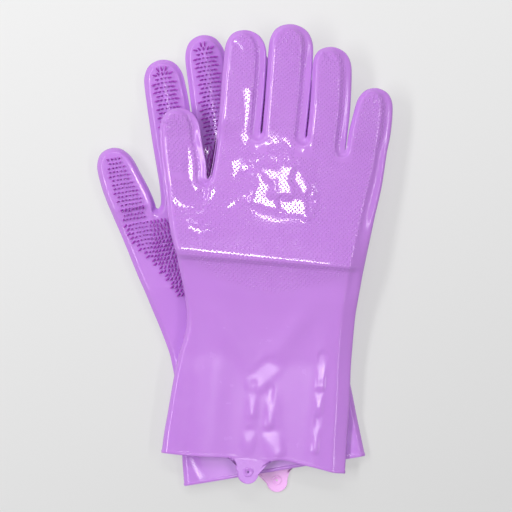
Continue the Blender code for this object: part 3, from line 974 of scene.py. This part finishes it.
def palm_leans(spots):
    """Bristles stand up beside the thumb, lie towards the cuff on the palm, and lean out along its border."""
    leans = []
    for u, v in spots:
        past = float(ease(1 - (u - float(between(v, PAD_SIDES, "left"))) / 7)) * (v < 203)
        laid = float(ease((u + 66) / 8))
        across = -0.5 + 0.5 * float(ease((v - 180) / 20)) + 0.25 * math.sin(v / 5)
        along = -0.85 + 0.2 * math.sin(u / 5)
        leans.append((across * laid * (1 - past) - 0.7 * LEAN * past,
                      along * laid * (1 - past) - 0.45 * LEAN * past))
    return leans


# ---------------- hanging tab
TAB_ROOT, TAB_INSIDE = 16.5, 8.0  # half its width where it leaves the cuff, and how far it runs into it
TAB_WIDER = 2.5  # and how much further it reaches on its wide side
TAB_LENGTH, TAB_THICK, TAB_TIP = 15.6, 1.6, 8.0
TAB_BEND = (1.5, -4.5)
TAB_HEART = 3.0  # its loops run round this place along it
TAB_TUCK = {"right": -0.6, "left": 0.5}  # how far its root rises into the skin
RING_OUT, RING_IN, RING_HOLE, RING_UP, RING_AT = 3.6, 2.4, 0.8, 0.45, -6.6
BEAD = 0.3  # height of the bead along the tab's border


def bezier(points, t):
    while len(points) > 1:
        points = [tuple(a + (b - a) * t for a, b in zip(p, q)) for p, q in zip(points, points[1:])]
    return points[0]


def tab_outline():
    """Outline of the tab, narrow side first: down to the round tip, up the wide side, and along its root."""
    centre = TAB_TIP - TAB_LENGTH
    sides = []
    for curve in ([(TAB_ROOT, 2.7), (11.6, 0.6), (9.9, -3.0), (TAB_TIP, centre)],
                  [(TAB_ROOT + TAB_WIDER, 4.4), (14.4, 2.4), (11.8, -3.0), (TAB_TIP, centre)]):
        sides.append([(curve[0][0], TAB_INSIDE)] + [bezier(curve, i / 8) for i in range(8)])
    narrow = [(-u, v) for u, v in sides[0]]
    wide = sides[1][::-1]
    turns = [math.pi * i / 14 for i in range(15)]
    tip = [(-TAB_TIP * math.cos(a), centre - TAB_TIP * math.sin(a)) for a in turns]
    span = TAB_ROOT * 2 + TAB_WIDER
    root = [(TAB_ROOT + TAB_WIDER - span * i / 12, TAB_INSIDE) for i in range(1, 12)]
    return narrow + tip + wide + root


def tab_loop(radius, outline, share):
    """A loop part of the way from a circle round the hole to the tab's outline."""
    made = []
    for u, v in outline:
        a = math.atan2(v - TAB_HEART, u)
        made.append((radius * math.cos(a) * (1 - share) + u * share,
                     (RING_AT + radius * math.sin(a)) * (1 - share) + v * share))
    return made


def hang_tab(side, skin, material):
    """The tab with its ring boss, a hole through the middle and a bead; its root lies flush on the skin."""
    low = HEIGHTS[side]["high"][0] - TAB_THICK if side == "right" else 0.0
    outline = tab_outline()
    if side == "left":
        outline = [(-u, v) for u, v in reversed(outline)]
    top, half = TAB_THICK, TAB_THICK / 2
    out = RING_OUT + 0.15
    loops = [(RING_HOLE, 0, half), (RING_HOLE, 0, top - 0.1), (RING_HOLE + 0.3, 0, top),
             (RING_IN - 0.3, 0, top), (RING_IN, 0, top + RING_UP * 0.75), (RING_IN + 0.3, 0, top + RING_UP),
             (RING_OUT - 0.4, 0, top + RING_UP), (RING_OUT - 0.05, 0, top + RING_UP * 0.75)]
    loops += [(out, share, top) for share in (0, 0.06, 0.2, 0.35, 0.5, 0.62, 0.72, 0.80, 0.87)]
    loops += [(out, 0.91, top + BEAD), (out, 0.965, top + BEAD), (out, 0.99, top + BEAD * 0.3),
              (out, 1.0, half), (out, 0.98, 0.2), (out, 0.92, 0.0), (out, 0.4, 0.0),
              (RING_HOLE + 0.4, 0, 0.0), (RING_HOLE, 0, 0.2)]
    points, size = [], len(outline)
    shift = GLOVES[side]["tab"]
    for radius, share, rise in loops:
        for u, v in tab_loop(radius, outline, share):
            u, v = u + shift[0], v + shift[1]
            past_edge = v - (float(through(u, CUFF_EDGE)) if side == "right" else LOWER_CUFF + 2.5)
            inside = float(ease((past_edge - 0.2) / 1.6))
            z = low + min(rise, TAB_THICK + (rise - TAB_THICK) * (1 - inside))
            if inside and side == "right":
                x, y, _ = world(side, [(u, v, 0.0)])[0]
                hit = skin.ray_cast(Vector((x, y, RAY_ABOVE)), Vector((0, 0, -1)))[0]
                z += (hit.z / MM - low - TAB_THICK) * inside if hit else 0.0
            points.append((u, v, z + 0.03 + TAB_TUCK[side] * float(ease((past_edge - 1) / 2.5))))
    faces = []
    for j in range(len(loops)):
        faces += belt((j + 1) % len(loops) * size, j * size, size)
    return new_piece(side + "_hang_tab_moulding", world(side, points), faces, material)


# ---------------- the two gloves
FINGER_NODES = {"thumb": "thumb", "index": "index_finger", "middle": "middle_finger",
                "ring": "ring_finger", "little": "little_finger"}
CURL_LENGTH = 50.0  # length of finger over which a bend is spread
WRIST_BEND = (166.0, 108.0)  # from where to where the wrist bends
TIP_BENDS = {"index": (272.0, 304.0), "middle": (298.0, 330.0)}  # on the left glove
DOT_START, DOT_FADE = 122.0, 14.0  # where the grip dots begin, and over what length they grow


class Glove:
    """The pieces of one glove."""

    def __init__(self, side, skin, bristles, backlit_tab):
        self.side, self.up = side, side == "right"
        # the bristles' material holds painted shade, and the lower tab's material a painted backlight
        self.skin_material, self.bristle_material, self.tab_material = skin, bristles, backlit_tab
        self.plan = Plan(side)
        points, faces, tags = cage(side, self.plan)
        points, self.quads, self.kinds = subdivide(points, faces, tags, LEVELS)
        self.points = world(side, sculpt(side, points, normals_of(points, self.quads)))
        self.normals = normals_of(self.points, self.quads)
        self.tree = BVHTree.FromPolygons([Vector(p) for p in self.points.tolist()], self.quads.tolist())
        self.rng = np.random.default_rng(7)

    def move(self, piece, kind):
        """Lets a piece follow its body, or bend from one body to the next."""
        if self.up and kind == "hand":
            ends = (spot("right", 0, v, 30) for v in WRIST_BEND)
            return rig.blend(piece, "right_hand_body", "right_gauntlet_body", *ends)
        if self.up:
            middle = sum(self.plan.span(kind, KNUCKLES)) / 2
            start = WEBS.get(kind, WEBS["ring"]) + SEAM
            ends = (spot("right", middle, v, 30) for v in (start, start + CURL_LENGTH))
            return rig.blend(piece, "right_hand_body", f"right_{kind}_body", *ends)
        if kind in ("index", "middle"):
            middle = sum(self.plan.span(kind, TIP_BENDS[kind][0])) / 2
            ends = (spot("left", middle, v, 7) for v in TIP_BENDS[kind])
            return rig.blend(piece, "left_glove", f"left_{kind}_tip_body", *ends)
        if kind == "thumb":
            start = WEBS[kind] + SEAM
            ends = (spot("left", -78, v, 7) for v in (start, start + CURL_LENGTH))
            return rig.blend(piece, "left_glove", "left_thumb_body", *ends)
        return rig.ride(piece, "left_glove")

    def skin(self, kind):
        part = self.quads[self.kinds == PIECES.index(kind)]
        name = {"hand": "hand_and_gauntlet", "rim": "cuff_rim"}.get(kind, kind) + "_skin"
        piece = walled(f"{self.side}_{name}", self.points, self.normals, part, WALL, self.skin_material)
        if kind == "rim":
            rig.ride(piece, "right_gauntlet_body" if self.up else "left_glove")
            nodes = ["cuff_rim"]
        else:
            self.move(piece, kind)
            nodes = ["hand_shell", "gauntlet"] if kind == "hand" else [FINGER_NODES[kind]]
        if not self.up and kind in TIP_BENDS:
            nodes.append(f"{kind}_fingertip")
        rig.replaces(piece, *[f"{self.side}_{node}" for node in nodes])
        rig.slot(piece, "silicone")

    def bristles(self, kind):
        if kind == "hand":
            spots = self.palm_spots()
            leans = palm_leans(spots)
            nodes = ["palm_bristles"]
        else:
            begin = WEBS.get(kind, WEBS["ring"]) + SEAM + 0.8
            spots = finger_field(self.plan, kind, BRISTLE_INSET, BRISTLE_TIP, begin, FINGER_GRID, self.rng)
            leans = finger_leans(self.plan, kind, spots)
            nodes = [f"{kind}_bristles"]
        name = "palm" if kind == "hand" else kind
        piece = grown(f"{self.side}_{name}_bristle_field", self.side, spots, BRISTLE, 7, self.tree,
                      not self.up, self.bristle_material, leans)
        self.move(piece, kind)
        if not self.up and kind in TIP_BENDS:
            nodes.append(f"{kind}_tip_bristles")
        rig.replaces(piece, *[f"{self.side}_{node}" for node in nodes])
        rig.slot(piece, "bristles")

    def palm_spots(self):
        sides = PAD_SIDES
        spots = stagger(lambda v: float(between(v, sides, "left")),
                        lambda v: float(between(v, sides, "right")),
                        sides["v"][0], sides["v"][-1], PALM_GRID, self.rng)
        spots = [p for p in spots if p[1] < 238 or self.on_hand(*p)]
        root = WEBS["thumb"] + SEAM
        right = self.plan.span("thumb", root)[1] - BRISTLE_INSET
        beside = stagger(lambda v: -82.5, lambda v: right, THUMB_ROOT, root - 0.5, FINGER_GRID, self.rng)
        return spots + beside

    def dots(self, kind):
        if kind == "hand":
            spots = stagger(lambda v: self.hand_side(v, 0) + DOT_INSET, lambda v: self.hand_side(v, 1) - 9.5,
                            DOT_START, 250.0, DOT_GRID, self.rng)
            spots = [p for p in spots if self.dot_sink(*p) < 0.3 and (p[1] < 234 or self.on_hand(*p))]
        else:
            begin = WEBS.get(kind, WEBS["ring"]) + SEAM + 0.4
            spots = finger_field(self.plan, kind, DOT_INSET, DOT_INSET, begin, DOT_GRID, self.rng)
        sinks = [self.dot_sink(*p) if kind == "hand" else 0.0 for p in spots]
        piece = grown(f"{self.side}_{kind}_grip_dots", self.side, spots, DOT, 7, self.tree, self.up,
                      self.skin_material, sinks=sinks)
        self.move(piece, kind)
        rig.slot(piece, "silicone")

    def dot_sink(self, u, v):
        """How deep a dot is sunk into the skin where the dotted field begins."""
        begin = DOT_START + DOT_FADE * ((u + 5) / 50) ** 2
        return 0.36 * (1 - float(ease((v - begin) / DOT_FADE)))

    def hand_side(self, v, which):
        return self.plan.span("hand" if v < THUMB_ROOT + 2 else "palm", v)[which]

    def on_hand(self, u, v):
        """Whether a place near the webs is still on the back of the hand."""
        for name in ORDER[1:]:
            left, right = self.plan.span(name, v)
            if left + 5 < u < right - 7 and v < WEBS.get(name, WEBS["ring"]) + SEAM:
                return True
        return False

    def build(self):
        for kind in PIECES:
            self.skin(kind)
        for kind in ("hand",) + ORDER:
            self.bristles(kind)
            self.dots(kind)
        # the lower glove's tab takes the lighter silicone with painted backlight
        tab = hang_tab(self.side, self.tree, self.skin_material if self.up else self.tab_material)
        ends = (spot(self.side, GLOVES[self.side]["tab"][0], v) for v in TAB_BEND)
        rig.blend(tab, "right_gauntlet_body" if self.up else "left_glove", self.side + "_tab_body", *ends)
        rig.replaces(tab, self.side + "_hang_tab")
        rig.slot(tab, "silicone")


def studio():
    """Pale floor, overhead and side softboxes, and the camera straight above."""
    bpy.ops.mesh.primitive_plane_add(size=6.0, location=(0, 0, -0.0002))
    floor = bpy.context.object
    floor.name = "floor"
    # the floor glows with painted light
    floor.data.materials.append(light_table())
    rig.stage(floor)
    world_light = bpy.data.worlds.new("studio")
    world_light.use_nodes = True
    background = world_light.node_tree.nodes["Background"]
    background.inputs["Color"].default_value = (1, 1, 1, 1)
    background.inputs["Strength"].default_value = WORLD_LIGHT
    bpy.context.scene.world = world_light
    for name, place, size, power in SOFTBOXES:
        lamp = bpy.data.lights.new(name, "AREA")
        lamp.shape = "RECTANGLE"
        lamp.size, lamp.size_y = size
        lamp.energy = power
        made = bpy.data.objects.new(name, lamp)
        made.location = place
        made.rotation_euler = (Vector((0, 0, 0)) - Vector(place)).to_track_quat("-Z", "Y").to_euler()
        bpy.context.scene.collection.objects.link(made)
    lens = bpy.data.cameras.new("camera")
    lens.lens = 250.0
    lens.sensor_width = 36.0
    camera = bpy.data.objects.new("camera", lens)
    distance = VIEW_WIDTH / 2 / math.tan(math.atan(lens.sensor_width / 2 / lens.lens))
    camera.location = (VIEW_CENTRE[0] * MM, VIEW_CENTRE[1] * MM, distance + VIEW_PLANE)
    bpy.context.scene.collection.objects.link(camera)
    bpy.context.scene.camera = camera


VIEW_WIDTH, VIEW_PLANE = 0.3848, 0.02  # width of the view, and the height where it is that wide
VIEW_CENTRE = (9.0, 1.7)
WORLD_LIGHT = 0.22
SOFTBOXES = (  # name, place, size along the floor and upwards, power
    ("key_panel", (-0.5, 0.85, 0.8), (0.36, 0.36), 1.5),
    ("overhead_softbox", (-0.06, 0.1, 4.0), (0.46, 0.46), 26.0),
    ("left_strip", (-2.3, 0.2, 3.0), (2.6, 0.6), 72.0),
    ("right_strip", (2.3, 0.0, 3.0), (2.6, 0.25), 24.0),
    ("far_strip", (0.2, 2.4, 3.0), (1.8, 0.4), 25.0),
)
LEVELS = 2
VIOLET, VIOLET_DEEP = (0.585, 0.262, 0.785), (0.535, 0.228, 0.745)
# the lower glove's tab: the same silicone painted lighter, a painted backlight standing in for light from the floor
# through the thin tab
VIOLET_PAINTED_BACKLIGHT, VIOLET_PAINTED_BACKLIGHT_DEEP = (0.93, 0.50, 0.94), (0.88, 0.44, 0.90)
# the bristles are the same silicone as the skin, painted darker: painted shade among the bristles
BRISTLE_PAINTED_SHADE, BRISTLE_PAINTED_SHADE_DEEP = (0.46, 0.085, 0.58), (0.40, 0.07, 0.52)

bpy.context.scene.view_settings.view_transform = "Standard"
skin_material = silicone("violet_silicone", VIOLET, VIOLET_DEEP)
# darker silicone for the bristles, with painted shade
bristle_material = silicone("violet_bristles", BRISTLE_PAINTED_SHADE, BRISTLE_PAINTED_SHADE_DEEP, rough=0.3)
# lighter silicone for the lower tab, with painted backlight
painted_backlight_material = silicone("violet_silicone_thin", VIOLET_PAINTED_BACKLIGHT, VIOLET_PAINTED_BACKLIGHT_DEEP)
studio()
for glove_side in GLOVES:
    Glove(glove_side, skin_material, bristle_material, painted_backlight_material).build()

with open("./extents.json", "w") as out:
    json.dump([[list(corner) for corner in box] for box in (CAD_BOX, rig.bounds())], out)
